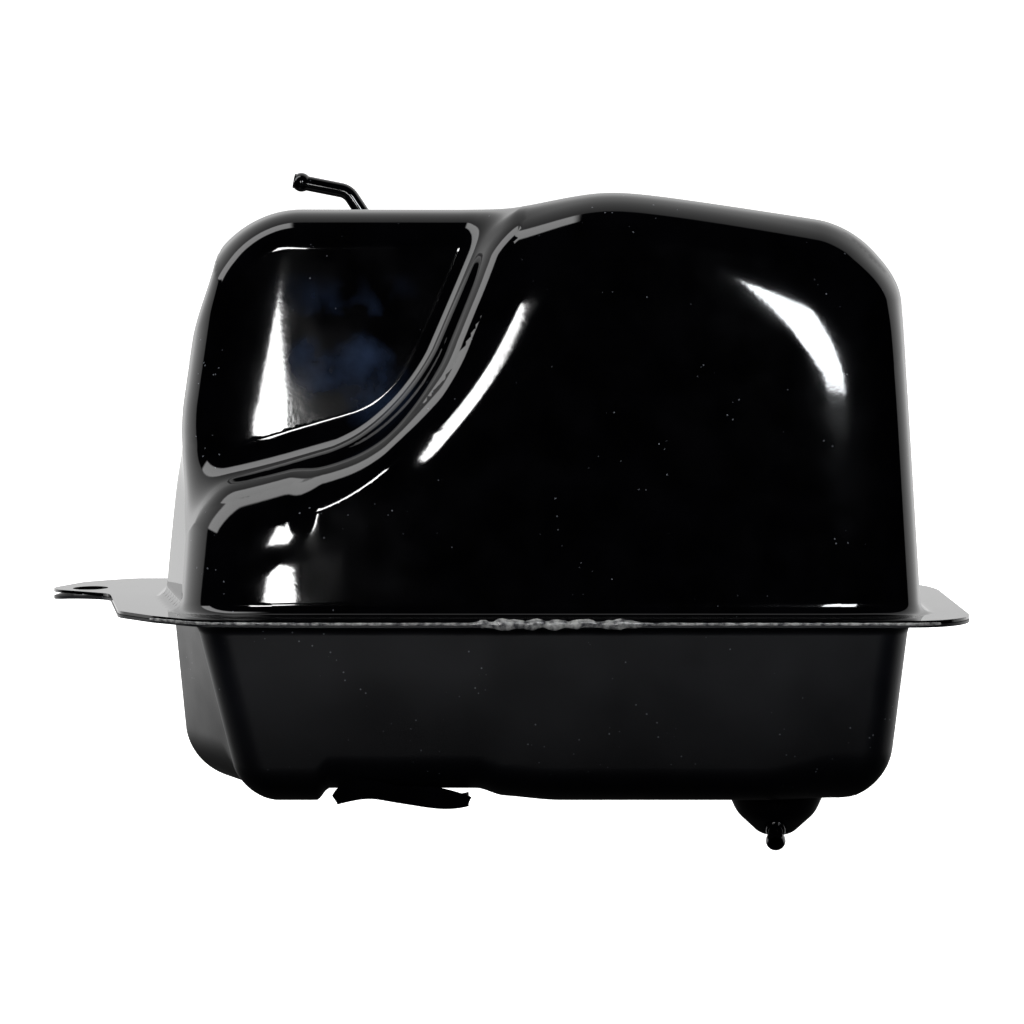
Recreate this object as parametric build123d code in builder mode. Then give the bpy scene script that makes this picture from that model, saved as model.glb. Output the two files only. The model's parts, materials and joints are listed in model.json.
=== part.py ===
"""Pressed-steel fuel tank for a small scooter, as separate pieces.

Millimetres. +X to the tank's right, +Y to its rear, +Z up. The origin is the centre of the
flange's seating face, the underside of the lower flange sheet.
"""

import os
from math import cos, radians, sin, sqrt, tan

from build123d import *

os.makedirs("parts", exist_ok=True)

# ---- driving dimensions -------------------------------------------------------------------
sheet = 1.2                       # steel sheet of both shells
weld_gap = 0.3                    # the seam weld's height between the flanges
seam_z = sheet + weld_gap / 2     # the plane where the two shells meet
flange_top = 2 * sheet + weld_gap

front_y = -67.0                   # front and rear walls of the body at the seam
rear_y = 67.0
draft = 4.0                       # lean of the front and rear walls, degrees
past_seam = 20.0                  # how far the forms run past the seam before they are trimmed

deck_z = 133.0                    # rear deck that carries the neck and the sender
ridge_y = -8.0                    # rear face of the high front ridge, at the seam
recess_depth = 22.0               # from the bulge's face back to the recessed panel
step_lean = 30.0                  # lean of the wall between them, degrees
pan_depth = 72.6                  # seam to the pan's floor
emboss_depth = 4.8               # shallow raised field in the pan's floor
pan_split_y = -40.0               # the pan is wider to the left behind this

ear = (-186.0, 40.0)              # left mounting ear
ear_hole_r = 7.25
rear_ear_x = (-70.0, 95.0)        # two rear ears
rear_ear_y = 92.0
rear_hole_r = 4.5

filler = (45.0, 24.0)
neck_r = 21.0
neck_wall = 1.2
neck_top = 148.2
throat_r = 16.5                   # hole in the neck's turned-in lip
sender = (-28.0, 22.0)
vent_x, vent_y = -68.5, 38.0
outlet = (94.4, -17.0)
tube_r = 3.0
tube_wall = 0.8
bead_r = 3.9                      # the ball-shaped hose bead
bead_lip_r = 2.3                  # the bead's outer edge at the tube's mouth
foot_r = 24.0                     # the neck's brazed foot
lip = 1.2                         # the neck's turned-in lip
lip_under = neck_top - lip
neck_bore = neck_r - neck_wall
spigot = 0.6                      # wall of the spigot that locates the neck in the deck
sender_hole_r = 17.0
slot_width = 19.0                 # slots in the lip for the cap's tabs
pan_floor = seam_z - pan_depth + sheet   # inside face of the pan's floor

rivet_r = 2.5
pin_r = 1.5                       # float pivot

pivot = (-24.0, 28.4, 40.0)       # float arm's pivot
arm_length = 95.0
arm_rest = -52.0                  # the arm's angle below horizontal with the tank empty


# ---- forms of the two shells --------------------------------------------------------------
def wall_plane(y, side, rise):
    """Front (side -1) or rear (side 1) wall, leaning inwards as it goes up or down from the seam."""
    lean = radians(draft)
    normal = (0, side * cos(lean), rise * sin(lean))
    return Plane(origin=(0, y, seam_z), x_dir=(1, 0, 0), z_dir=normal)


def block(points, radii, front, rear, front_round, rear_round, inset):
    """A prism along Y with a rounded outline, trimmed by two walls, with its end rims rounded."""
    cap_z = points[0][1]
    with BuildPart() as form:
        with BuildSketch(Plane.XZ.offset(-100)):
            with BuildLine():
                outline = FilletPolyline(*points, radius=radii)
                Line(outline @ 1, outline @ 0)
            make_face()
            if inset:
                offset(amount=-inset, kind=Kind.INTERSECTION)
        extrude(amount=200)
        split(bisect_by=front.offset(-inset), keep=Keep.BOTTOM)
        split(bisect_by=rear.offset(-inset), keep=Keep.BOTTOM)
        for face, radius in ((form.faces().sort_by(Axis.Y)[0], front_round),
                             (form.faces().sort_by(Axis.Y)[-1], rear_round)):
            rim = face.edges().filter_by(lambda edge: abs(edge.center().Z - cap_z) > 2)
            fillet(rim, radius - inset)
    return form.part


def upper_form(inset):
    """The upper shell's outer form, or with an inset its inner form, run on below the seam."""
    low = seam_z - past_seam
    high_outline = [(-149.5, low), (-140.9, 71), (-127.8, 158.4), (-10.8, 158.4), (25, 167),
                    (138.3, 149.4), (148.7, low)]
    deck_outline = [(-149.5, low), (-140.9, 71), (-131.7, deck_z), (139.3, deck_z), (148.7, low)]
    bulge_face = wall_plane(front_y, -1, 1)
    panel_face = bulge_face.offset(-recess_depth)
    ridge_back = wall_plane(ridge_y + 12, 1, 1)
    rear_wall = wall_plane(rear_y, 1, 1)
    bulge = block(high_outline, [400, 38, 60, 118, 38], bulge_face, ridge_back, 20, 9, inset)
    panel = block(high_outline, [400, 38, 60, 118, 38], panel_face, ridge_back, 11, 9, inset)
    deck = block(deck_outline, [400, 20, 22], bulge_face, rear_wall, 20, 14, inset)
    # the recess: everything up and to the left of an S-shaped line, cut past the panel's rounding
    lean = radians(step_lean)
    past = 14.0
    spread = inset * (1 / cos(lean) - tan(lean)) - past * tan(lean)
    with BuildPart() as form:
        add(bulge)
        add(deck)
        with BuildSketch(panel_face.offset(-inset - past)):
            with BuildLine():
                step = FilletPolyline((3, 190), (-19, 130), (-47.5, 80.5), (-220, 23.5),
                                      radius=[130, 30])
                Polyline(step @ 1, (-220, 190), step @ 0)
            make_face()
            offset(amount=spread, kind=Kind.INTERSECTION)
        extrude(amount=recess_depth + 30 + past, taper=-step_lean, mode=Mode.SUBTRACT)
        add(panel)
    return form.part


def lower_form(inset):
    """The pan's outer form, or with an inset its inner form, run on above the seam."""
    high = seam_z + past_seam
    floor = seam_z - pan_depth
    rear_outline = [(-144, high), (-135.5, floor), (134.5, floor), (144.5, high)]
    front_outline = [(-138, high), (-115.5, floor), (134.5, floor), (144.5, high)]
    rear_block = block(rear_outline, [20, 13], wall_plane(pan_split_y, -1, -1),
                       wall_plane(rear_y, 1, -1), 10, 14, inset)
    front_block = block(front_outline, [14, 13], wall_plane(front_y, -1, -1),
                        wall_plane(pan_split_y + 40, 1, -1), 12, 14, inset)
    emboss_top = floor + emboss_depth
    with BuildPart() as form:
        add(rear_block)
        add(front_block)
        # the shallow raised field where the strip bracket is welded
        with BuildSketch(Plane.XY.offset(emboss_top + inset)):
            with Locations((-53, -50)):
                Rectangle(58 + inset, 70 + inset)
        extrude(amount=-12, taper=-45, mode=Mode.SUBTRACT)
    return form.part


def flange_outline():
    """Face of the flange: the left ear, the two rear ears and their holes included."""
    with BuildSketch() as face:
        with BuildLine():
            FilletPolyline((-92, -80), (165, -80), (165, 80), (-172, 80), (-192, 66), (-204.5, 39),
                           (-175, 17), (-164, -46), (-149, -63), (-131, -77),
                           radius=[18, 24, 50, 14, 14, 12, 12, 14, 9, 14], close=True)
        make_face()
        for x in rear_ear_x:
            with Locations((x, rear_ear_y)):
                Circle(12)
            with Locations((x, rear_ear_y - 10)):
                Trapezoid(48, 16, 60)
        with Locations(ear):
            Circle(ear_hole_r, mode=Mode.SUBTRACT)
        with Locations([(x, rear_ear_y) for x in rear_ear_x]):
            Circle(rear_hole_r, mode=Mode.SUBTRACT)
    return face.sketch


def junction(part, z):
    """The loop where the wall meets the flange's face at one height."""
    seat = [face for face in part.faces().filter_by(Axis.Z) if abs(face.center().Z - z) < 0.01][0]
    return max(seat.inner_wires(), key=lambda wire: wire.length).edges()


flange = flange_outline()

def finish(builder, label):
    """Name a finished piece and write it."""
    builder.part.label = label
    export_step(builder.part, f"parts/{label}.step")


def upright(centre, z=0):
    """The XZ plane through a vertical axis, for profiles that are turned about it."""
    return Plane(origin=(*centre, z), x_dir=(1, 0, 0), z_dir=(0, -1, 0))


def ring(centre, z, height, outer, inner):
    """A flat ring with its lower face at z."""
    with BuildPart() as washer:
        with BuildSketch(Plane.XY.offset(z)):
            with Locations(centre):
                Circle(outer)
                Circle(inner, mode=Mode.SUBTRACT)
        extrude(amount=height)
    return washer


def beaded_tube(points, radii):
    """A bent steel tube with a hose bead rolled at its first point."""
    with BuildLine() as path:
        FilletPolyline(*points, radius=radii)
    line = path.line
    mouth = Plane(line @ 0, z_dir=line % 0)
    with BuildPart() as tube:
        with BuildSketch(mouth):
            Circle(tube_r)
        sweep(path=line)
        with Locations(mouth.offset(sqrt(bead_r ** 2 - bead_lip_r ** 2))):
            Sphere(bead_r)
        split(bisect_by=mouth, keep=Keep.TOP)
        with BuildSketch(mouth):
            Circle(tube_r - tube_wall)
        sweep(path=line, mode=Mode.SUBTRACT)
    return tube


# ---- shells -------------------------------------------------------------------------------
with BuildPart() as upper_shell:
    add(upper_form(0))
    split(bisect_by=Plane.XY.offset(flange_top - sheet), keep=Keep.TOP)
    extrude(flange.moved(Location((0, 0, flange_top - sheet))), amount=sheet)
    fillet(junction(upper_shell, flange_top), 4)
    add(upper_form(sheet), mode=Mode.SUBTRACT)
    deck_holes = ((filler, neck_bore + spigot), (sender, sender_hole_r), ((vent_x, vent_y), tube_r))
    for centre, radius in deck_holes:
        with BuildSketch(Plane.XY.offset(deck_z - 5)):
            with Locations(centre):
                Circle(radius)
        extrude(amount=10, mode=Mode.SUBTRACT)
finish(upper_shell, "upper_shell")

with BuildPart() as lower_shell:
    add(lower_form(0))
    split(bisect_by=Plane.XY.offset(sheet), keep=Keep.BOTTOM)
    extrude(flange, amount=sheet)
    fillet(junction(lower_shell, 0), 4)
    add(lower_form(sheet), mode=Mode.SUBTRACT)
    with BuildSketch(Plane.XY.offset(seam_z - pan_depth - 3)):
        with Locations(outlet):
            Circle(17)
    extrude(amount=10, mode=Mode.SUBTRACT)
finish(lower_shell, "lower_shell")

# the weld runs all round between the two flanges, close to the wall
with BuildPart() as seam_weld:
    with BuildSketch(Plane.XY.offset(sheet)):
        with Locations((-0.4, 0)):
            RectangleRounded(302, 142, 20)
            RectangleRounded(296, 136, 17, mode=Mode.SUBTRACT)
    extrude(amount=weld_gap)
finish(seam_weld, "seam_weld")

# ---- slosh baffle inside ------------------------------------------------------------------
baffle_x = -88.0
baffle_sheet = 1.0
with BuildPart() as baffle_plate:
    with BuildSketch(Plane.YZ.offset(baffle_x)):
        with BuildLine():
            FilletPolyline((-44, pan_floor), (50, pan_floor), (56, -10), (52, 46), (-44, 46),
                           (-54, -10), radius=[3, 3, 8, 10, 10, 8], close=True)
        make_face()
        with Locations((-22, -38), (28, -38)):
            Circle(9, mode=Mode.SUBTRACT)
        with Locations((2, 8)):
            Circle(16, mode=Mode.SUBTRACT)
    extrude(amount=baffle_sheet)
    with Locations((baffle_x - 5.5, 2, pan_floor + baffle_sheet / 2)):
        Box(11, 86, baffle_sheet)
finish(baffle_plate, "baffle_plate")

# ---- filler neck and bayonet cap ----------------------------------------------------------
with BuildPart() as filler_neck:
    with BuildSketch(upright(filler)):
        with BuildLine():
            Polyline((neck_bore, deck_z - 4), (neck_bore, lip_under), (throat_r, lip_under),
                     (throat_r, neck_top), (neck_r, neck_top), (neck_r, deck_z + sheet),
                     (foot_r, deck_z + sheet), (foot_r, deck_z), (neck_bore + spigot, deck_z),
                     (neck_bore + spigot, deck_z - 4), close=True)
        make_face()
    revolve(axis=Axis((*filler, 0), (0, 0, 1)))
    fillet(filler_neck.edges().filter_by(
        lambda edge: abs(edge.center().Z - neck_top) < 0.01 and edge.length > 6 * neck_r), 0.8)
    # the two slots that let the cap's tabs through
    with Locations((*filler, neck_top)):
        Box(2 * neck_bore - 0.6, slot_width, 4 * lip, mode=Mode.SUBTRACT)
finish(filler_neck, "filler_neck")

gasket_top = neck_top + 2.0
cup_floor = 145.6                 # underside of the sealing cup's floor
strap_top = cup_floor
strap = 1.0
with BuildPart() as cap_gasket:
    add(ring(filler, neck_top, gasket_top - neck_top, 21.5, 17.2).part)
    fillet(cap_gasket.edges().filter_by(GeomType.CIRCLE), 0.4)
finish(cap_gasket, "cap_gasket")

cover_r = 27.0
cover_top = 156.0
cover_wall = 0.8
with BuildPart() as cap_cup:
    with BuildSketch(upright(filler)):
        with BuildLine():
            Polyline((rivet_r, cup_floor), (15.8, cup_floor), (15.8, gasket_top),
                     (cover_r - cover_wall, gasket_top), (cover_r - cover_wall, gasket_top + 1),
                     (14.8, gasket_top + 1), (14.8, cup_floor + 1), (rivet_r, cup_floor + 1),
                     close=True)
        make_face()
    revolve(axis=Axis((*filler, 0), (0, 0, 1)))
finish(cap_cup, "cap_cup")

with BuildPart() as cap_strap:
    with BuildSketch(Plane.XY.offset(strap_top)):
        with Locations(filler):
            Circle(19.2)
            Rectangle(40, 14, mode=Mode.INTERSECT)
            Circle(rivet_r, mode=Mode.SUBTRACT)
    extrude(amount=-strap)
finish(cap_strap, "cap_strap")

with BuildPart() as cap_rivet:
    with BuildSketch(Plane.XY.offset(strap_top - strap - 1.2)):
        with Locations(filler):
            Circle(4)
    extrude(amount=1.2)
    with BuildSketch(Plane.XY.offset(strap_top - strap)):
        with Locations(filler):
            Circle(rivet_r)
    extrude(amount=strap + 1)
    with BuildSketch(Plane.XY.offset(cup_floor + 1)):
        with Locations(filler):
            Circle(4)
    extrude(amount=1.2)
    fillet(cap_rivet.edges().group_by(Axis.Z)[0], 0.8)
finish(cap_rivet, "cap_rivet")

grips = 10
with BuildPart() as cap_cover:
    with BuildSketch(Plane.XY.offset(neck_top - 2.4)):
        with Locations(filler):
            Circle(cover_r)
    extrude(amount=cover_top - neck_top + 2.4)
    fillet(cap_cover.edges().group_by(Axis.Z)[-1], 3)
    with Locations((*filler, 0)):
        with PolarLocations(cover_r + 6.4, grips):
            Cylinder(7, 400, mode=Mode.SUBTRACT)
    with BuildSketch(Plane.XY.offset(neck_top - 2.4)):
        with Locations(filler):
            Circle(cover_r - 2 * cover_wall)
    extrude(amount=cover_top - cover_wall - neck_top + 2.4, mode=Mode.SUBTRACT)
    add(ring(filler, gasket_top, 1, cover_r - cover_wall, 5).part, mode=Mode.SUBTRACT)
finish(cap_cover, "cap_cover")

# ---- fuel gauge sender --------------------------------------------------------------------
ring_top = deck_z + 2.5
seal_top = ring_top + 1.5
plate_top = seal_top + 1.2
screws = 5
screw_pitch_r = 20.8
screw_r = 2.0


def screw_holes(radius):
    """Cut the sender's five screw holes through the sketch in hand."""
    with Locations(sender):
        with PolarLocations(screw_pitch_r, screws, start_angle=18):
            Circle(radius, mode=Mode.SUBTRACT)


with BuildPart() as sender_ring:
    with BuildSketch(Plane.XY.offset(deck_z)):
        with Locations(sender):
            Circle(25)
            Circle(sender_hole_r, mode=Mode.SUBTRACT)
        screw_holes(screw_r)
    extrude(amount=ring_top - deck_z)
finish(sender_ring, "sender_ring")

with BuildPart() as sender_gasket:
    with BuildSketch(Plane.XY.offset(ring_top)):
        with Locations(sender):
            Circle(24.6)
            Circle(sender_hole_r, mode=Mode.SUBTRACT)
        screw_holes(screw_r + 0.2)
    extrude(amount=seal_top - ring_top)
finish(sender_gasket, "sender_gasket")

with BuildPart() as sender_plate:
    with BuildSketch(Plane.XY.offset(seal_top)):
        with Locations(sender):
            Circle(24.4)
        screw_holes(screw_r + 0.2)
    extrude(amount=plate_top - seal_top)
finish(sender_plate, "sender_plate")

with BuildPart() as sender_screws:
    with Locations((*sender, 0)):
        with PolarLocations(screw_pitch_r, screws, start_angle=18):
            with Locations((0, 0, plate_top)):
                Cylinder(3.6, 2.4, align=(Align.CENTER, Align.CENTER, Align.MIN))
            with Locations((0, 0, plate_top + 2.4)):
                Box(3.8, 0.8, 2.4, mode=Mode.SUBTRACT)
                Box(0.8, 3.8, 2.4, mode=Mode.SUBTRACT)
            with Locations((0, 0, deck_z)):
                Cylinder(screw_r, plate_top - deck_z, align=(Align.CENTER, Align.CENTER, Align.MIN))
finish(sender_screws, "sender_screws")

block_top = plate_top + 6
with BuildPart() as sender_block:
    with BuildSketch(Plane.XY.offset(plate_top)):
        with Locations(sender):
            RectangleRounded(20, 12, 3)
    extrude(amount=block_top - plate_top)
    fillet(sender_block.edges().group_by(Axis.Z)[-1], 1)
    with Locations([(sender[0] + side * 5, sender[1], block_top - 1.5) for side in (-1, 1)]):
        Box(0.8, 6.3, 3, mode=Mode.SUBTRACT)
finish(sender_block, "sender_block")

with BuildPart() as sender_terminals:
    for side in (-1, 1):
        with BuildSketch(Plane.YZ.offset(sender[0] + side * 5 - 0.4)):
            with Locations((sender[1], block_top + 2.5)):
                Rectangle(6.3, 11)
                Circle(0.9, mode=Mode.SUBTRACT)
        extrude(amount=0.8)
    chamfer(sender_terminals.edges().filter_by(Axis.X).group_by(Axis.Z)[-1], 1)
finish(sender_terminals, "sender_terminals")

case_low, case_top = pivot[2] - 10, pivot[2] + 18
case_y = (18.0, 26.0)
with BuildPart() as sender_stem:
    with BuildSketch(Plane.YZ.offset(pivot[0] - 11 - 1.5)):
        with Locations((22, (case_low + seal_top) / 2)):
            Rectangle(10, seal_top - case_low)
    extrude(amount=1.5)
    with Locations((pivot[0] - 11, 22, seal_top)):
        Box(10, 10, 1.5, align=(Align.MIN, Align.CENTER, Align.MAX))
finish(sender_stem, "sender_stem")

with BuildPart() as sender_resistor:
    with BuildSketch(Plane.XZ.offset(-case_y[0])):
        with Locations((pivot[0], (case_low + case_top) / 2)):
            RectangleRounded(22, case_top - case_low, 3)
        with Locations((pivot[0], pivot[2])):
            Circle(pin_r, mode=Mode.SUBTRACT)
    extrude(amount=-(case_y[1] - case_y[0]))
finish(sender_resistor, "sender_resistor")

hub = (26.4, 30.4)                # the arm's hub along Y
pin_end = 30.8
with BuildPart() as float_pivot:
    with BuildSketch(Plane.XZ.offset(-case_y[0])):
        with Locations((pivot[0], pivot[2])):
            Circle(pin_r)
    extrude(amount=-(pin_end - case_y[0]))
    with BuildSketch(Plane.XZ.offset(-pin_end)):
        with Locations((pivot[0], pivot[2])):
            Circle(2.8)
    extrude(amount=-1)
finish(float_pivot, "float_pivot")

# the arm is drawn along +X and turned down to its rest angle about the pivot
wire_r = 1.2
float_y = (-4.0, 26.0)
float_r = 14.0
reach = Plane(origin=pivot, x_dir=(cos(radians(arm_rest)), 0, sin(radians(arm_rest))), z_dir=(0, -1, 0))
with BuildPart() as float_arm:
    with BuildSketch(reach.offset(pivot[1] - hub[1])):
        Circle(3.6)
        Circle(pin_r + 0.05, mode=Mode.SUBTRACT)
    extrude(amount=hub[1] - hub[0])
    with BuildLine() as route:
        start = reach.from_local_coords((3.2, 0, 0))
        corner = reach.from_local_coords((arm_length, 0, 0))
        end = reach.from_local_coords((arm_length, 0, pivot[1] - float_y[0] + 2))
        FilletPolyline(start, corner, end, radius=2)
    with BuildSketch(Plane(route.line @ 0, z_dir=route.line % 0)):
        Circle(wire_r)
    sweep(path=route.line)
finish(float_arm, "float_arm")

with BuildPart() as float_body:
    with BuildSketch(reach.offset(pivot[1] - float_y[1])):
        with Locations((arm_length, 0)):
            Circle(float_r)
            Circle(wire_r, mode=Mode.SUBTRACT)
    extrude(amount=float_y[1] - float_y[0])
    fillet(float_body.edges().filter_by(lambda e: e.geom_type == GeomType.CIRCLE and e.radius > 10), 3)
finish(float_body, "float")

with BuildPart() as float_clip:
    with BuildSketch(reach.offset(pivot[1] - float_y[0])):
        with Locations((arm_length, 0)):
            Circle(3.2)
            Circle(wire_r, mode=Mode.SUBTRACT)
    extrude(amount=0.8)
finish(float_clip, "float_clip")

# ---- vent tube ----------------------------------------------------------------------------
vent_points = [(-100.5, vent_y, 170.8), (-78.3, vent_y, 166.4), (vent_x, vent_y, 151.6),
               (vent_x, vent_y, deck_z - 4)]
with BuildPart() as vent_tube:
    add(beaded_tube(vent_points, [7, 8]).part)
finish(vent_tube, "vent_tube")

with BuildPart() as vent_braze:
    with Locations((vent_x, vent_y, deck_z)):
        Cone(6, tube_r + 0.3, 2.2, align=(Align.CENTER, Align.CENTER, Align.MIN))
        Cylinder(tube_r, 20, mode=Mode.SUBTRACT)
finish(vent_braze, "vent_braze")

# ---- outlet sump, tube and strainer -------------------------------------------------------
pan_under = seam_z - pan_depth
sump_depth = 19.8
sump_lean = -4                    # degrees, the cup's bottom leans to the left


def sump_form(inset):
    """The drawn cup's outer form, or with an inset its inner form run on past its rim."""
    stand = upright(outlet, pan_under).rotated((0, 0, sump_lean))
    with BuildPart() as cup:
        with BuildSketch(stand):
            with BuildLine():
                wall = FilletPolyline((0, -sump_depth), (6.8, 1.6 - sump_depth), (15.6, -10), (25.7, 12),
                                      radius=[8, 14])
                Polyline(wall @ 1, (0, 12), wall @ 0)
            make_face()
            if inset:
                offset(amount=-inset, kind=Kind.INTERSECTION)
                with Locations((inset, (inset - sump_depth) / 2)):
                    Rectangle(2 * inset, sump_depth - inset)
        revolve(axis=Axis(stand.origin, stand.y_dir))
        split(bisect_by=Plane.XY.offset(pan_under + inset), keep=Keep.BOTTOM)
    return cup.part


outlet_points = [(91.6, -51.3, -87.4), (*outlet, -85), (*outlet, -62)]
with BuildPart() as outlet_tube:
    add(beaded_tube(outlet_points, [6.5]).part)
finish(outlet_tube, "outlet_tube")

with BuildPart() as outlet_bore:
    with BuildLine() as bore_line:
        Line(outlet_points[0], outlet_points[1])
    with BuildSketch(Plane(bore_line.line @ 0, z_dir=bore_line.line % 0)):
        Circle(tube_r)
    sweep(path=bore_line.line)

with BuildPart() as outlet_sump:
    add(sump_form(0))
    add(sump_form(sheet), mode=Mode.SUBTRACT)
    add(outlet_bore.part, mode=Mode.SUBTRACT)
finish(outlet_sump, "outlet_sump")

# a braze fillet where the tube leaves the cup
with BuildPart() as outlet_braze:
    with BuildSketch(Plane(bore_line.line @ 0.54, z_dir=bore_line.line % 0.54)):
        Circle(3.7)
    extrude(amount=10, taper=-8)
    fillet(outlet_braze.edges().group_by(Axis.Y)[0], 0.5)
    add(sump_form(0), mode=Mode.SUBTRACT)
    add(outlet_bore.part, mode=Mode.SUBTRACT)
finish(outlet_braze, "outlet_braze")

strainer_r = 7.4
with BuildPart() as fuel_strainer:
    with BuildSketch(Plane.XY.offset(-66)):
        with Locations(outlet):
            Circle(strainer_r)
            Circle(tube_r, mode=Mode.SUBTRACT)
    extrude(amount=2)
    with BuildSketch(Plane.XY.offset(-64)):
        with Locations(outlet):
            Circle(strainer_r)
            Circle(strainer_r - 0.8, mode=Mode.SUBTRACT)
    extrude(amount=26)
    with BuildSketch(Plane.XY.offset(-38)):
        with Locations(outlet):
            Circle(strainer_r)
    extrude(amount=1.5)
    fillet(fuel_strainer.edges().group_by(Axis.Z)[-1], 1)
finish(fuel_strainer, "fuel_strainer")

# ---- wavy strip bracket under the pan -----------------------------------------------------
strip = 1.6
strip_y = (-64.5, -40.0)
crest_z = pan_under + emboss_depth - strip / 2 - 0.03
with BuildPart() as hose_bracket:
    with BuildSketch(Plane.XZ.offset(-strip_y[0])):
        with BuildLine() as wave:
            Spline((-78.4, crest_z - 2.2), (-72.6, crest_z - 0.8), (-65, crest_z), (-57.5, crest_z - 1.1),
                   (-50.7, crest_z - 2.2), (-37, crest_z - 3.9), (-27.8, crest_z - 2.8))
        trace(wave.line, strip)
    extrude(amount=strip_y[0] - strip_y[1])
    # its front lip turns up in front of the pan's lower corner
    with BuildSketch(Plane.XZ.offset(-strip_y[0])):
        with BuildLine():
            add(wave.line)
            lip = Spline((-80.2, crest_z + 0.5), (-75.2, crest_z + 5.4), (-69.1, crest_z + 7), (-57.5, crest_z + 4.7),
                         (-43.8, crest_z + 4), (-33.2, crest_z + 2.1), (-26.6, crest_z - 0.2))
            Line(wave.line @ 0, lip @ 0)
            Line(wave.line @ 1, lip @ 1)
        make_face()
    extrude(amount=-strip)
finish(hose_bracket, "hose_bracket")
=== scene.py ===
import json
from math import atan2, cos, pi, radians, sin, sqrt, tan

import bpy
import numpy as np
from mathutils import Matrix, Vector


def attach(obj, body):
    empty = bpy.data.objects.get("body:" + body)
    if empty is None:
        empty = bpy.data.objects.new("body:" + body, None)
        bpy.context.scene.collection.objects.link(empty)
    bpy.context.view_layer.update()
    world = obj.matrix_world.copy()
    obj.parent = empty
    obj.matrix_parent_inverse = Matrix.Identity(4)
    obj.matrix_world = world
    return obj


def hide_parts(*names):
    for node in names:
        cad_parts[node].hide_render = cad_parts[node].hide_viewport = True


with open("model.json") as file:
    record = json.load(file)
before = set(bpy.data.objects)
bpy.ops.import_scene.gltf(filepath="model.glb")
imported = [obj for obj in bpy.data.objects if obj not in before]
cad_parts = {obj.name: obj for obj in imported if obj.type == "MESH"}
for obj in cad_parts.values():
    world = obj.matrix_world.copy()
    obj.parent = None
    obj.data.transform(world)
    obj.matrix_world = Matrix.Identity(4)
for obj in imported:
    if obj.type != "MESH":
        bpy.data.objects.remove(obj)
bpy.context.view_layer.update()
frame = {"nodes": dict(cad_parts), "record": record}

MM = 0.001

# ---- sizes of the pressed forms, in millimetres, in the frame's axes ----------------------
SHEET = 1.2
FLANGE_TOP = 2.7                  # upper face of the two flange sheets and the weld between them
SEAM = FLANGE_TOP / 2
FLANGE_BEND = 4.5                 # outer radius where each half turns out into its flange
FRONT, REAR = -67.0, 67.0
REAR_BEND = 14
DRAFT = radians(4.0)
DECK = 133.0
RIDGE_BACK = 4.0
RECESS = 22.0                     # bulge face to recessed panel
STEP_LEAN = radians(30.0)
STEP_CREST, STEP_FOOT = 10.0, 8.0 # bends from bulge to riser, and from riser to recessed panel
PANEL_LEAN, PANEL_MIDDLE = 0.047, 95    # the panel stands this much more upright than the draft
LEFT_BEND, RIGHT_BEND = 35, 31    # the top's corners, seen from the front
ROLL_DROP, ROLL_REACH = 1.27, 18  # how the bulge falls away again along the step
PAN_DEPTH = 72.6
FLOOR = SEAM - PAN_DEPTH
PAN_TOP = SEAM + 20               # the pan's side lines are drawn up past the seam, to here
NOTCH_Y, NOTCH_RUN = -40.0, 46    # where the pan's left wall starts to widen, and over what length
EMBOSS = 4.8                      # height of the field pressed up into the pan's floor
CROWN = 3.6                       # how far each face falls away towards its edges
CROWN_REACH = 42.0
PROBE = 0.02                      # step for measuring a field's slope

# lines seen from the front, as (x, z) points
LEFT_FOOT, LEFT_KNEE, LEFT_TOP = (-151, -18.7), (-142.4, 71), (-129.3, 158.4)
RIGHT_TOP, RIGHT_FOOT = (138.3, 149.4), (148.7, -18.7)
STEP_END, STEP_LOW, STEP_HIGH, STEP_START = (-118, 50.5), (-43.5, 72.3), (-16.5, 123), (-6, 160)
RECESS_TOP = 158.4
CLIMB_X, FALL_X = -10.8, 25       # where the top starts to climb to the bulge, and to fall off again


# ---- distance fields ----------------------------------------------------------------------
def both(a, b, r):
    """Inside a and inside b, with the edge rounded."""
    u = np.maximum(r + a, 0)
    v = np.maximum(r + b, 0)
    return np.minimum(-r, np.maximum(a, b)) + np.sqrt(u * u + v * v)


def either(a, b, r):
    """Inside a or inside b, with the inner corner rounded."""
    u = np.maximum(r - a, 0)
    v = np.maximum(r - b, 0)
    return np.maximum(r, np.minimum(a, b)) - np.sqrt(u * u + v * v)


def ease(low, high, x):
    """Smooth change from 0 at low to 1 at high."""
    t = np.clip((x - low) / (high - low), 0, 1)
    return t * t * (3 - 2 * t)


def side(p, q, x, z):
    """Distance to the line from p to q, positive on its left."""
    dx, dz = q[0] - p[0], q[1] - p[1]
    return ((z - p[1]) * dx - (x - p[0]) * dz) / sqrt(dx * dx + dz * dz)


def wall(y, z, at, out, rise):
    """Distance outside the front (out -1) or rear (out 1) wall.

    The wall leans in as it leaves the seam, upwards (rise 1) or downwards (rise -1).
    """
    return out * (y - at) * cos(DRAFT) + rise * (z - SEAM) * sin(DRAFT)


def step_line(x, z):
    """Distance up and to the left of the S-shaped line down the middle of the step."""
    upper = side(STEP_HIGH, STEP_START, x, z)
    middle = side(STEP_LOW, STEP_HIGH, x, z)
    lower = side(STEP_END, STEP_LOW, x, z)
    return either(either(upper, middle, 40.0), lower, 30.0)


def crown(edge):
    """How far a pressed face falls away, given the distance to its edge."""
    return CROWN * np.clip(1 + edge / CROWN_REACH, 0, 1.4) ** 2


def top_line(x, z):
    """Distance above the front ridge, which climbs from the recess to the bulge, then falls off."""
    rising, falling = x - CLIMB_X, x - FALL_X
    climb = 0.123 * (rising + np.hypot(rising, 8))
    fall = 0.2005 * (falling + np.hypot(falling, 14))
    return z - (RECESS_TOP + climb - fall)


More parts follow.
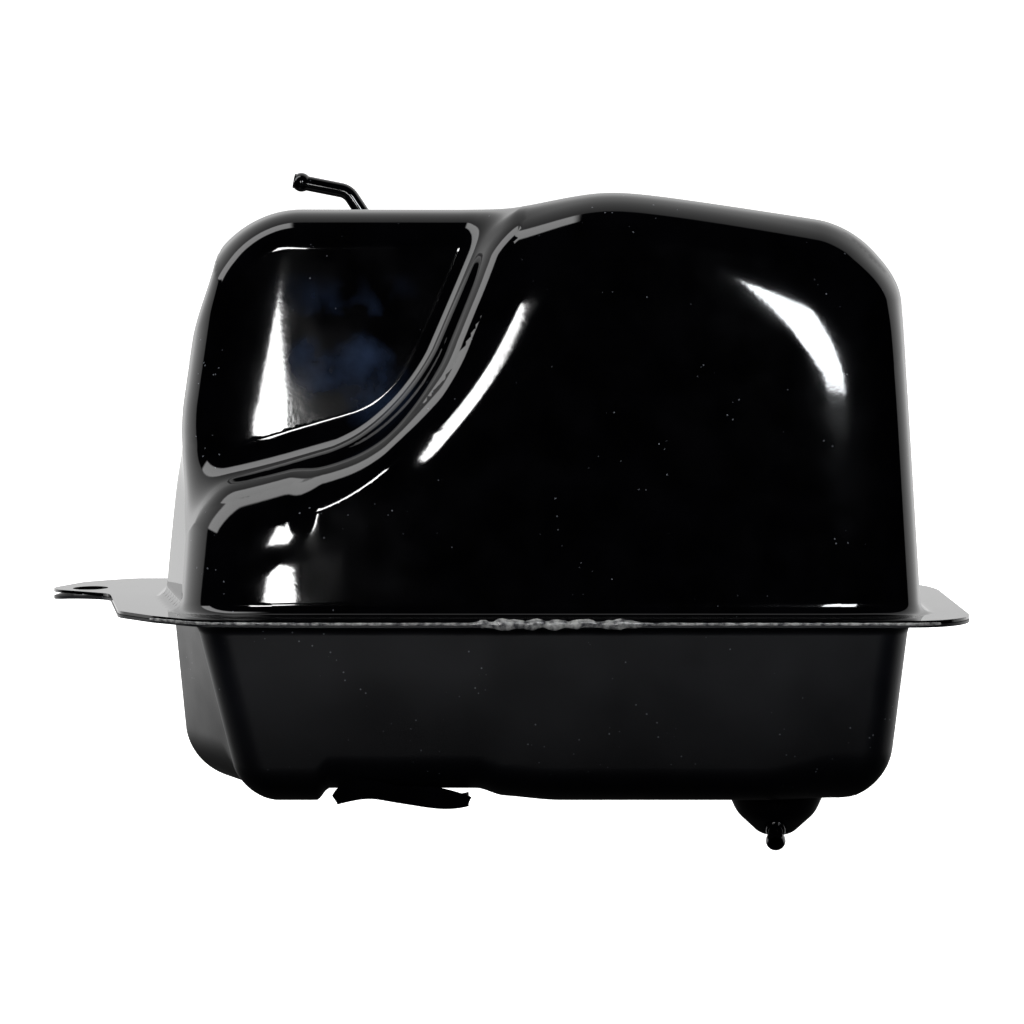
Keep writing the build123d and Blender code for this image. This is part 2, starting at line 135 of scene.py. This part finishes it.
def upper_body(x, y, z):
    left = both(side(LEFT_FOOT, LEFT_KNEE, x, z), side(LEFT_KNEE, LEFT_TOP, x, z), 0.6)
    # below the knee the left wall also closes in towards the front
    left = left + (0.21 * np.clip(-y, -8, 75) - 0.6) * ease(84, 44, z)
    right = side(RIGHT_TOP, RIGHT_FOOT, x, z)
    behind = wall(y, z, RIDGE_BACK, 1, 1)
    top = either(both(top_line(x, z), behind, 9.0), z - DECK, 8.0)
    # the crown follows a softer outline than the body's own corners
    edge = both(both(top, left, 40), right, 80)
    body = both(both(top, left, LEFT_BEND), right, RIGHT_BEND)
    face = wall(y, z, FRONT, -1, 1)
    line = step_line(x, z)
    past_middle = -face - RECESS / 2
    riser = (line - past_middle * tan(STEP_LEAN)) * cos(STEP_LEAN)
    # the bulge rolls off again along the step, except on its low run
    roll = np.maximum(ease(-60, -38, x), ease(-84, -97, x))
    inward = line + 16.8 + 0.15 * np.clip(z - 73, 0, 60)
    bulge = face + crown(edge) + ROLL_DROP * roll * np.clip(1 + inward / ROLL_REACH, 0, 1.7) ** 2
    panel = face + RECESS + crown(left) - PANEL_LEAN * (z - PANEL_MIDDLE)
    front = either(panel, both(bulge, riser, STEP_CREST), STEP_FOOT)
    # the front's rim is a little tighter along the recess and at the lower right
    rim = 18 - 2 * ease(-4, 10, line) - 4 * ease(100, 140, x) * ease(150, 110, z)
    body = both(body, front, rim)
    return both(body, wall(y, z, REAR, 1, 1), REAR_BEND)


def upper_skin(x, y, z):
    return either(upper_body(x, y, z), z - FLANGE_TOP, FLANGE_BEND)


def lower_body(x, y, z):
    rear_left = side((-141.5, FLOOR), (-150, PAN_TOP), x, z)
    front_left = side((-115.5, FLOOR), (-138, PAN_TOP), x, z)
    # the left wall runs out from the narrow front to the wider rear over a long slant
    behind = y - NOTCH_Y
    along = np.clip((behind + np.hypot(behind, 5)) / (2 * NOTCH_RUN), 0, 1)
    left = front_left + (rear_left - front_left) * along
    right = side((144.5, PAN_TOP), (134.5, FLOOR), x, z)
    walls = both(left, right, 5)
    walls = both(walls, wall(y, z, FRONT, -1, -1), 13)
    walls = both(walls, wall(y, z, REAR, 1, -1), REAR_BEND)
    # the raised field in the floor, which runs out to the right in a steep and a long slope
    run_out = 0.6 * ease(-14, -25, x) + 0.4 * ease(8, -18, x)
    field = ease(-87, -82, x) * run_out * ease(-11, -16, y)
    floor = FLOOR + EMBOSS * field - z
    corner = 15 + 6 * ease(-44, -30, y) * ease(-75, -110, x) + 6 * ease(85, 115, x)
    return both(walls, floor, corner)


def lower_skin(x, y, z):
    return either(lower_body(x, y, z), -z, FLANGE_BEND)


def change(field, p):
    """How much a field changes over two probe steps along each axis at points p."""
    parts = []
    for axis in range(3):
        step = np.zeros(3)
        step[axis] = PROBE
        parts.append(field(*(p + step).T) - field(*(p - step).T))
    return np.stack(parts, 1)


def slope(field, p):
    """Unit gradient of a field at points p."""
    g = change(field, p)
    return g / np.maximum(np.linalg.norm(g, axis=1, keepdims=True), 1e-9)


def settle(field, p, rounds=4):
    """Moves points onto the field's surface."""
    for _ in range(rounds):
        value = field(*p.T)
        g = change(field, p) / (2 * PROBE)
        p = p - g * (value / np.maximum((g * g).sum(1), 0.05))[:, None]
    return p


def surface_net(field, low, high, cell):
    """Quads over a field's surface: one point per crossed cell, settled on the surface."""
    axes = [np.arange(a, b + cell, cell) for a, b in zip(low, high)]
    x, y, z = np.meshgrid(*axes, indexing="ij")
    value = field(x, y, z)
    inside = value < 0
    nx, ny, nz = (n - 1 for n in inside.shape)
    count = np.zeros((nx, ny, nz), int)
    for i, j, k in np.ndindex(2, 2, 2):
        count += inside[i:nx + i, j:ny + j, k:nz + k]
    crossed = (count > 0) & (count < 8)
    index = -np.ones(crossed.shape, int)
    index[crossed] = np.arange(crossed.sum())
    cells = np.argwhere(crossed)
    centre = np.array(low) + (cells + 0.5) * cell
    # a point that strays too far from its cell is pulled back, and settles again
    limit = 0.75 * cell
    points = np.clip(settle(field, centre), centre - limit, centre + limit)
    points = settle(field, points)
    quads = []
    for axis in range(3):
        a = np.take(inside, range(inside.shape[axis] - 1), axis)
        b = np.take(inside, range(1, inside.shape[axis]), axis)
        edges = np.argwhere(a != b)
        forward = a[tuple(edges.T)]
        u, v = [k for k in range(3) if k != axis]
        keep = np.ones(len(edges), bool)
        for k, n in ((u, crossed.shape[u]), (v, crossed.shape[v])):
            keep &= (edges[:, k] > 0) & (edges[:, k] < n)
        edges, forward = edges[keep], forward[keep]
        ring = []
        for du, dv in ((-1, -1), (0, -1), (0, 0), (-1, 0)):
            c = edges.copy()
            c[:, u] += du
            c[:, v] += dv
            ring.append(index[tuple(c.T)])
        ring = np.stack(ring, 1)
        flip = forward if axis != 1 else ~forward
        ring[~flip] = ring[~flip][:, ::-1]
        quads.append(ring)
    return points, np.concatenate(quads)


# ---- pressed shells -----------------------------------------------------------------------
ARC_POINTS = 64                   # on a full turn


def rounded(points, radii):
    """A closed outline with each corner turned on its radius."""
    out = []
    n = len(points)
    for i, (corner, r) in enumerate(zip(points, radii)):
        c = np.array(corner, float)
        a = np.array(points[i - 1], float) - c
        b = np.array(points[(i + 1) % n], float) - c
        a /= np.linalg.norm(a)
        b /= np.linalg.norm(b)
        half = np.arccos(np.clip(a @ b, -1, 1)) / 2
        reach = r / np.tan(half)
        middle = c + (a + b) / np.linalg.norm(a + b) * r / np.sin(half)
        start, end = c + a * reach - middle, c + b * reach - middle
        steps = max(2, int(ARC_POINTS * (pi - 2 * half) / (2 * pi)) + 1)
        t0, t1 = atan2(start[1], start[0]), atan2(end[1], end[0])
        turn = (t1 - t0 + pi) % (2 * pi) - pi
        for k in range(steps + 1):
            t = t0 + turn * k / steps
            out.append(middle + r * np.array([cos(t), sin(t)]))
    return np.array(out)


def polygon_distance(poly, x, y):
    """Signed distance to a closed outline, negative inside."""
    p = np.stack([x, y], -1)
    best = np.full(p.shape[:-1], 1e9)
    inside = np.zeros(p.shape[:-1], bool)
    for a, b in zip(poly, np.roll(poly, -1, axis=0)):
        e = b - a
        w = p - a
        t = np.clip((w @ e) / max(e @ e, 1e-9), 0, 1)
        best = np.minimum(best, np.linalg.norm(w - t[..., None] * e, axis=-1))
        crosses = (a[1] > p[..., 1]) != (b[1] > p[..., 1])
        if a[1] != b[1]:
            at = a[0] + (p[..., 1] - a[1]) * e[0] / e[1]
            inside ^= crosses & (p[..., 0] < at)
    return np.where(inside, -best, best)


def disc(centre, r, x, y):
    return np.hypot(x - centre[0], y - centre[1]) - r


EAR = (-186.0, 40.0)
EAR_HOLE = 7.25
REAR_EARS = [(-70.0, 92.0), (95.0, 92.0)]
REAR_EAR_R, REAR_EAR_HOLE = 12, 4.5
FLANGE = rounded([(-92, -80), (165, -80), (165, 80), (-172, 80), (-192, 66),
                  (-204.5, 39), (-175, 17), (-164, -46), (-149, -63), (-131, -77)],
                 [18, 24, 50, 14, 14, 12, 12, 14, 9, 14])


def flange_outline(x, y):
    """Signed distance to the flange's outline with its ears and their holes, seen from above."""
    d = polygon_distance(FLANGE, x, y)
    for cx, cy in REAR_EARS:
        foot = rounded([(cx - 22, cy - 16), (cx + 22, cy - 16), (cx + 13, cy - 2), (cx - 13, cy - 2)],
                       [2] * 4)
        ear = np.minimum(disc((cx, cy), REAR_EAR_R, x, y), polygon_distance(foot, x, y))
        d = np.minimum(d, ear)
        d = np.maximum(d, -disc((cx, cy), REAR_EAR_HOLE, x, y))
    return np.maximum(d, -disc(EAR, EAR_HOLE, x, y))


def pressed_sheet(name, field, low, high, cell, cuts, bend):
    """A drawn sheet: the field's surface, trimmed by cuts, and its inner face one sheet away.

    Each cut is (lowest z, highest z, 2-D distance), and keeps what lies inside the distance.
    bend moves the finished points.
    """
    points, quads = surface_net(field, low, high, cell)
    middle = points[quads].mean(1)
    keep = np.ones(len(quads), bool)
    for z0, z1, cut in cuts:
        near = (middle[:, 2] > z0) & (middle[:, 2] < z1)
        keep[near] &= cut(middle[near, 0], middle[near, 1]) < 0
    quads = quads[keep]
    used, quads = np.unique(quads, return_inverse=True)
    quads = quads.reshape(-1, 4)
    points = points[used]
    # open edges: the ones that only one quad uses
    edges = np.concatenate([quads[:, [i, (i + 1) % 4]] for i in range(4)])
    key = np.sort(edges, 1)
    _, first, uses = np.unique(key, axis=0, return_index=True, return_counts=True)
    rim = edges[first[uses == 1]]
    on_rim = np.unique(rim)
    # the rim's points slide along the sheet onto the cut they lie at
    for z0, z1, cut in cuts:
        mine = on_rim[(points[on_rim, 2] > z0) & (points[on_rim, 2] < z1)]
        near = mine[np.abs(cut(points[mine, 0], points[mine, 1])) < 1.5 * cell]
        for _ in range(4):
            x, y = points[near, 0], points[near, 1]
            d = cut(x, y)
            gx = (cut(x + 0.01, y) - cut(x - 0.01, y)) / 0.02
            gy = (cut(x, y + 0.01) - cut(x, y - 0.01)) / 0.02
            size = np.maximum(gx * gx + gy * gy, 0.2)
            points[near, 0] -= d * gx / size
            points[near, 1] -= d * gy / size
    normal = slope(field, points)
    inner = points - normal * SHEET
    count = len(points)
    points, inner = bend(points), bend(inner)
    sides = np.stack([rim[:, 1], rim[:, 0], rim[:, 0] + count, rim[:, 1] + count], 1)
    corners = np.concatenate([points, inner])
    faces = np.concatenate([quads, quads[:, ::-1] + count, sides])
    a, b, c, _ = (corners[sides[:, i]] for i in range(4))
    side_normal = np.cross(b - a, c - b)
    side_normal /= np.maximum(np.linalg.norm(side_normal, axis=1, keepdims=True), 1e-9)
    loops = np.concatenate([normal[quads].reshape(-1, 3), -normal[quads[:, ::-1]].reshape(-1, 3),
                            np.repeat(side_normal, 4, axis=0)])
    mesh = bpy.data.meshes.new(name)
    mesh.from_pydata((corners * MM).tolist(), [], faces.tolist())
    mesh.shade_smooth()
    mesh.normals_split_custom_set(loops.tolist())
    piece = bpy.data.objects.new(name, mesh)
    bpy.context.scene.collection.objects.link(piece)
    return piece


# holes in the deck and the floor, as (x, y)
FILLER = (45.0, 24.0)
SENDER = (-28.0, 22.0)
VENT = (-68.5, 38.0)
OUTLET = (94.4, -17.0)
CELL = 1.6


EAR_ROOT, EAR_RUN = -172, 30


def splay(amount):
    """The ear's two sheets part a little towards its tip."""
    def bend(p):
        p = p.copy()
        t = np.clip((EAR_ROOT - p[:, 0]) / EAR_RUN, 0, 1)
        p[:, 2] += amount * t * t
        return p
    return bend


def hole(centre, r):
    return lambda x, y: -disc(centre, r, x, y)


DECK_HOLES = ((FILLER, 20.4), (SENDER, 17), (VENT, 3))
upper = pressed_sheet(
    "upper_shell_skin", upper_skin, (-206, -84, FLANGE_TOP - 3.3), (170, 108, 168), CELL,
    [(FLANGE_TOP - 1, FLANGE_TOP + 1, flange_outline)]
    + [(DECK - 1, DECK + 1, hole(centre, r)) for centre, r in DECK_HOLES],
    splay(-0.3))
lower = pressed_sheet(
    "lower_shell_skin", lower_skin, (-206, -84, FLOOR - 3.1), (170, 108, 3), CELL,
    [(-1, 1, flange_outline), (FLOOR - 1, FLOOR + 1, hole(OUTLET, 17))], splay(-1.9))


# ---- the weld that shows along the flange's front edge -------------------------------------
def edge_weld():
    """A lumpy bead in the gap between the flange sheets, heavier where the run starts and stops."""
    rng = np.random.default_rng(7)
    stations = np.arange(-150, 152, 1.5)
    ripple = 0.16 * np.sin(stations * 2 * pi / 3.1) + 0.10 * rng.standard_normal(len(stations))
    heavy = ease(-27, -20, stations) * ease(41, 34, stations)
    tall = 0.75 + 0.5 * ripple + heavy * (1.0 + 0.6 * rng.standard_normal(len(stations)))
    tall = np.clip(np.convolve(tall, [0.25, 0.5, 0.25], "same"), 0.45, 2.6)
    deep = 0.25 + 0.35 * tall
    lift = 0.35 * heavy * np.convolve(rng.standard_normal(len(stations)), [0.3, 0.4, 0.3], "same")
    turns = 14
    rows = []
    for x, h, d, dz in zip(stations, tall, deep, lift):
        ys = np.linspace(-84, -60, 481)
        edge = ys[np.argmax(flange_outline(np.full_like(ys, x), ys) < 0)]
        for k in range(turns):
            t = 2 * pi * k / turns
            rows.append((x, edge + 0.3 - d * cos(t), SEAM + dz + h * sin(t)))
    count = len(stations)
    faces = [(i * turns + k, i * turns + (k + 1) % turns, (i + 1) * turns + (k + 1) % turns,
              (i + 1) * turns + k) for i in range(count - 1) for k in range(turns)]
    faces += [tuple(range(turns))[::-1], tuple((count - 1) * turns + k for k in range(turns))]
    mesh = bpy.data.meshes.new("flange_edge_weld")
    mesh.from_pydata((np.array(rows) * MM).tolist(), [], faces)
    mesh.shade_smooth()
    piece = bpy.data.objects.new("flange_edge_weld", mesh)
    bpy.context.scene.collection.objects.link(piece)
    return piece


# ---- materials ----------------------------------------------------------------------------
DUST = (0.16, 0.17, 0.19)
# painted reflection: the bluish colour the enamel is blended towards over the recess
PAINTED_REFLECTION_TINT = (0.022, 0.036, 0.075)
# painted shade: the near-black colour the satin paint is blended to towards the bottom
PAINTED_SHADE_COLOUR = (0.0008, 0.0008, 0.001)
# (axis, where the painted reflection starts, where it is full), in metres: a bluish reflection
# painted over the recessed panel; nothing bounds it to the rear, so the rear wall's upper part takes
# it too
PAINTED_REFLECTION_BOUNDS = (("X", -0.106, -0.092), ("X", -0.046, -0.062), ("Z", 0.072, 0.086), ("Z", 0.134, 0.118),
            ("Y", -0.050, -0.045))


def material(name, base, worn, rough, metallic=0.0, grain=60.0, bump=0.0, bump_scale=900.0,
             wave=0.0, wave_scale=14.0, dust=0.0, painted_shade=None, painted_reflection=False):
    """A finish that varies: its colour and roughness drift between two states over the grain.

    base and worn are colours, rough is a pair of roughnesses, scales are per metre. painted_shade is
    a pair of heights between which painted shade darkens the colour towards the bottom;
    painted_reflection lays in a painted bluish reflection.
    """
    m = bpy.data.materials.new(name)
    m.use_nodes = True
    nodes, links = m.node_tree.nodes, m.node_tree.links
    shader = nodes["Principled BSDF"]
    shader.inputs["Metallic"].default_value = metallic
    coords = nodes.new("ShaderNodeTexCoord")

    def noise(scale, detail):
        n = nodes.new("ShaderNodeTexNoise")
        n.inputs["Scale"].default_value = scale
        n.inputs["Detail"].default_value = detail
        links.new(coords.outputs["Object"], n.inputs["Vector"])
        return n.outputs["Fac"]

    def remap(value, low, high, to_low, to_high):
        n = nodes.new("ShaderNodeMapRange")
        limits = {"From Min": low, "From Max": high, "To Min": to_low, "To Max": to_high}
        for key, v in limits.items():
            n.inputs[key].default_value = v
        links.new(value, n.inputs["Value"])
        return n.outputs["Result"]

    def blend(factor, a, b):
        n = nodes.new("ShaderNodeMix")
        n.data_type = "RGBA"
        links.new(factor, n.inputs["Factor"])
        for value, socket in ((a, n.inputs["A"]), (b, n.inputs["B"])):
            if isinstance(value, tuple):
                socket.default_value = (*value, 1)
            else:
                links.new(value, socket)
        return n.outputs["Result"]

    drift = noise(grain, 4)
    colour = blend(remap(drift, 0.35, 0.65, 0, 1), base, worn)
    roughness = remap(drift, 0.3, 0.7, *rough)
    if dust:
        cells = nodes.new("ShaderNodeTexVoronoi")
        cells.inputs["Scale"].default_value = 260
        links.new(coords.outputs["Object"], cells.inputs["Vector"])
        speck = remap(cells.outputs["Distance"], 0.05, 0.10, 1, 0)
        patch = remap(noise(34, 2), 0.60 - 0.1 * dust, 0.66 - 0.1 * dust, 0, 1)
        both_masks = nodes.new("ShaderNodeMath")
        both_masks.operation = "MULTIPLY"
        links.new(speck, both_masks.inputs[0])
        links.new(patch, both_masks.inputs[1])
        colour = blend(both_masks.outputs[0], colour, DUST)
    if painted_reflection:
        # painted reflection: a bluish cloud laid into the enamel's colour over the recess
        place = nodes.new("ShaderNodeSeparateXYZ")
        links.new(coords.outputs["Object"], place.inputs[0])
        reflection_mask = remap(noise(42, 6), 0.46, 0.70, 0, 1)
        for axis, a, b in PAINTED_REFLECTION_BOUNDS:
            step = nodes.new("ShaderNodeMath")
            step.operation = "MULTIPLY"
            links.new(reflection_mask, step.inputs[0])
            links.new(remap(place.outputs[axis], a, b, 0, 1), step.inputs[1])
            reflection_mask = step.outputs[0]
        colour = blend(reflection_mask, colour, PAINTED_REFLECTION_TINT)
    if painted_shade:
        # painted shade: the colour darkens, and the specular level drops, towards the bottom, where
        # less light reaches
        split = nodes.new("ShaderNodeSeparateXYZ")
        links.new(coords.outputs["Object"], split.inputs[0])
        colour = blend(remap(split.outputs["Z"], *painted_shade, 1, 0), colour, PAINTED_SHADE_COLOUR)
        links.new(remap(split.outputs["Z"], *painted_shade, 0.08, 0.34), shader.inputs["Specular IOR Level"])
    links.new(colour, shader.inputs["Base Color"])
    links.new(roughness, shader.inputs["Roughness"])
    previous = None
    layers = ((wave, wave_scale, 1, 0.0006), (bump, bump_scale, 3, 0.0001))
    for strength, scale, detail, reach in layers:
        if not strength:
            continue
        n = nodes.new("ShaderNodeBump")
        n.inputs["Strength"].default_value = strength
        n.inputs["Distance"].default_value = reach
        links.new(noise(scale, detail), n.inputs["Height"])
        if previous:
            links.new(previous, n.inputs["Normal"])
        previous = n.outputs["Normal"]
    if previous:
        links.new(previous, shader.inputs["Normal"])
    return m


finishes = {
    # the gloss enamel carries the painted bluish reflection over the recess
    "gloss_black": material(
        "gloss_black_enamel", (0.0006, 0.0006, 0.0008), (0.0012, 0.0012, 0.0017),
        (0.03, 0.06), bump=0.05, bump_scale=420, wave=0.14, wave_scale=16, dust=0.5, painted_reflection=True),
    # the satin pan is darkened towards its bottom with painted shade
    "satin_black": material(
        "satin_black_paint", (0.0016, 0.0018, 0.0032), (0.0034, 0.0038, 0.0060),
        (0.34, 0.46), grain=26, bump=0.25, bump_scale=1400, dust=0.8, painted_shade=(-0.070, -0.018)),
    "weld": material(
        "painted_weld", (0.05, 0.05, 0.055), (0.40, 0.40, 0.39),
        (0.10, 0.30), grain=420, bump=0.5, bump_scale=1800),
    "bare_steel": material(
        "bare_steel_sheet", (0.42, 0.42, 0.43), (0.30, 0.29, 0.28),
        (0.32, 0.5), 1.0, grain=90, bump=0.2, bump_scale=2200),
    "plated_steel": material(
        "zinc_plate", (0.62, 0.61, 0.55), (0.50, 0.47, 0.38),
        (0.28, 0.42), 1.0, grain=140, bump=0.15, bump_scale=1800),
    "spring_steel": material(
        "spring_steel_wire", (0.50, 0.50, 0.52), (0.38, 0.38, 0.40),
        (0.22, 0.36), 1.0, grain=300, bump=0.1, bump_scale=2500),
    "chromed_cap": material(
        "chrome_plate", (0.72, 0.73, 0.75), (0.62, 0.63, 0.66),
        (0.05, 0.13), 1.0, grain=50, bump=0.05, bump_scale=700, dust=0.3),
    "rubber": material(
        "black_rubber", (0.018, 0.018, 0.018), (0.035, 0.034, 0.033),
        (0.62, 0.78), grain=200, bump=0.4, bump_scale=2400),
    "black_plastic": material(
        "black_plastic_moulding", (0.014, 0.014, 0.015), (0.024, 0.024, 0.025),
        (0.38, 0.52), grain=160, bump=0.3, bump_scale=2600),
    "white_plastic": material(
        "white_plastic_moulding", (0.66, 0.65, 0.60), (0.52, 0.49, 0.40),
        (0.36, 0.5), grain=110, bump=0.2, bump_scale=2000),
    "brass": material(
        "brass_tags", (0.72, 0.50, 0.20), (0.50, 0.33, 0.13),
        (0.25, 0.42), 1.0, grain=260, bump=0.1, bump_scale=2200),
    "float_foam": material(
        "closed_cell_foam", (0.075, 0.060, 0.046), (0.045, 0.036, 0.028),
        (0.75, 0.92), grain=320, bump=0.9, bump_scale=1500),
}
slots = {entry["node"]: entry["material_slot"] for entry in frame["record"]["subparts"]}
for node_name, piece in frame["nodes"].items():
    piece.data.materials.clear()
    piece.data.materials.append(finishes[slots[node_name]])
for piece, node_name in ((upper, "upper_shell"), (lower, "lower_shell")):
    piece.data.materials.append(finishes[slots[node_name]])
    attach(piece, "tank")
    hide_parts(node_name)
bead = edge_weld()
bead.data.materials.append(finishes["weld"])
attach(bead, "tank")


# ---- camera, floor and light --------------------------------------------------------------
LOOK_DOWN = 4.61                  # degrees
camera = bpy.data.objects.new("camera", bpy.data.cameras.new("camera"))
camera.data.lens = 112.5
camera.data.sensor_width = 36
camera.location = (-0.011, -1.282, 0.14085)
camera.rotation_euler = (radians(90 - LOOK_DOWN), 0, 0)
bpy.context.scene.collection.objects.link(camera)
bpy.context.scene.camera = camera

# a white paper sweep, flat under the tank and upright behind it, that nothing reflects
SWEEP_SIDE, SWEEP_NEAR, SWEEP_FAR, SWEEP_LOW, SWEEP_HIGH = 30, -8, 6, -0.105, 14
floor_mesh = bpy.data.meshes.new("floor")
profile = ((SWEEP_NEAR, SWEEP_LOW), (SWEEP_FAR, SWEEP_LOW), (SWEEP_FAR, SWEEP_HIGH))
sweep = [(x, y, z) for y, z in profile for x in (-SWEEP_SIDE, SWEEP_SIDE)]
floor_mesh.from_pydata(sweep, [], [(0, 1, 3, 2), (2, 3, 5, 4)])
floor = bpy.data.objects.new("floor", floor_mesh)
floor.visible_glossy = floor.visible_diffuse = False
paper = bpy.data.materials.new("white_paper_sweep")
paper.use_nodes = True
paper_shader = paper.node_tree.nodes["Principled BSDF"]
paper_shader.inputs["Base Color"].default_value = (0.8, 0.8, 0.8, 1)
paper_shader.inputs["Emission Color"].default_value = (1, 1, 1, 1)
paper_shader.inputs["Emission Strength"].default_value = 1.2
floor_mesh.materials.append(paper)
bpy.context.scene.collection.objects.link(floor)

world = bpy.data.worlds.new("studio")
bpy.context.scene.world = world
world.use_nodes = True
tree = world.node_tree
tree.nodes.clear()
coords = tree.nodes.new("ShaderNodeTexCoord")
split = tree.nodes.new("ShaderNodeSeparateXYZ")
tree.links.new(coords.outputs["Generated"], split.inputs[0])
WAY = split.outputs


def ramp(value, low, high, to_low, to_high, smooth=True):
    n = tree.nodes.new("ShaderNodeMapRange")
    if smooth:
        n.interpolation_type = "SMOOTHSTEP"
    limits = {"From Min": low, "From Max": high, "To Min": to_low, "To Max": to_high}
    for key, v in limits.items():
        n.inputs[key].default_value = v
    tree.links.new(value, n.inputs["Value"])
    return n.outputs["Result"]


def math(operation, *values):
    n = tree.nodes.new("ShaderNodeMath")
    n.operation = operation
    for value, socket in zip(values, n.inputs):
        if isinstance(value, (int, float)):
            socket.default_value = value
        else:
            tree.links.new(value, socket)
    return n.outputs[0]


def times(first, *others):
    for other in others:
        first = math("MULTIPLY", first, other)
    return first


# the white room behind the tank, dimmer straight behind it, overhead and below
room = times(ramp(WAY["Y"], -0.07, -0.02, 0, 1), ramp(WAY["Y"], 0, 1, 1.15, 3.4, False),
             ramp(WAY["Y"], 0.70, 0.98, 1, 0.35), ramp(WAY["Z"], 0.35, 0.95, 1, 0.55),
             ramp(WAY["Z"], -0.40, -0.08, 0.02, 1))
# a reflector up and to the left, in front of the tank, that lights the step's two bends
tilt = math("ARCTAN2", WAY["Z"], math("MULTIPLY", WAY["X"], -1))
reflector = times(ramp(WAY["Y"], -0.36, -0.31, 0, 5.5), ramp(WAY["Y"], -0.07, -0.02, 1, 0),
                  ramp(tilt, 0.30, 0.36, 0, 1), ramp(tilt, 1.36, 1.44, 1, 0))
back = tree.nodes.new("ShaderNodeBackground")
tree.links.new(math("ADD", room, reflector), back.inputs["Strength"])
out = tree.nodes.new("ShaderNodeOutputWorld")
tree.links.new(back.outputs[0], out.inputs[0])
bpy.context.scene.view_settings.view_transform = "Standard"

TANK = Vector((0, -0.06, 0.08))
CARD_DISTANCE = 2.3


def card(name, corners, radiance, tint=(1, 1, 1)):
    """A glowing card, seen only by what reflects it.

    Its corners are directions from the tank, as azimuth and elevation in degrees.
    """
    mesh = bpy.data.meshes.new(name)
    spots = []
    for azimuth, elevation in corners:
        az, el = radians(azimuth), radians(elevation)
        way = Vector((sin(az) * cos(el), -cos(az) * cos(el), sin(el)))
        spots.append(TANK + CARD_DISTANCE * way)
    mesh.from_pydata([tuple(v) for v in spots], [], [tuple(range(len(spots)))])
    glow = bpy.data.materials.new(name)
    glow.use_nodes = True
    glow.node_tree.nodes.clear()
    emission = glow.node_tree.nodes.new("ShaderNodeEmission")
    emission.inputs["Color"].default_value = (*tint, 1)
    emission.inputs["Strength"].default_value = radiance
    target = glow.node_tree.nodes.new("ShaderNodeOutputMaterial")
    glow.node_tree.links.new(emission.outputs[0], target.inputs["Surface"])
    mesh.materials.append(glow)
    panel = bpy.data.objects.new(name, mesh)
    panel.visible_camera = False
    panel.visible_shadow = False
    bpy.context.scene.collection.objects.link(panel)


card("card_left", [(-6.6, 8.0), (-6.6, 10.0), (-9, 12), (-16, 16.5), (-16, 11.0)], 32)
card("card_low_left", [(-11.2, 3.6), (-14, -1.6), (-12.2, -2.0), (-6.2, -2.0), (-6.5, 0.2)], 32)
card("card_right", [(9.6, 16.8), (16.5, 16.8), (16.5, 6.3), (12.8, 6.3), (10.4, 9)], 34,
     (0.94, 0.97, 1.0))

softbox_left = bpy.data.lights.new("softbox_left", "AREA")
softbox_left.size = 0.9
softbox_left.energy = 8
rig = bpy.data.objects.new("softbox_left", softbox_left)
rig.location = (-0.7, -2.0, 1.5)
rig.rotation_euler = (Vector(rig.location) - TANK).to_track_quat("Z", "Y").to_euler()
rig.visible_glossy = False
bpy.context.scene.collection.objects.link(rig)
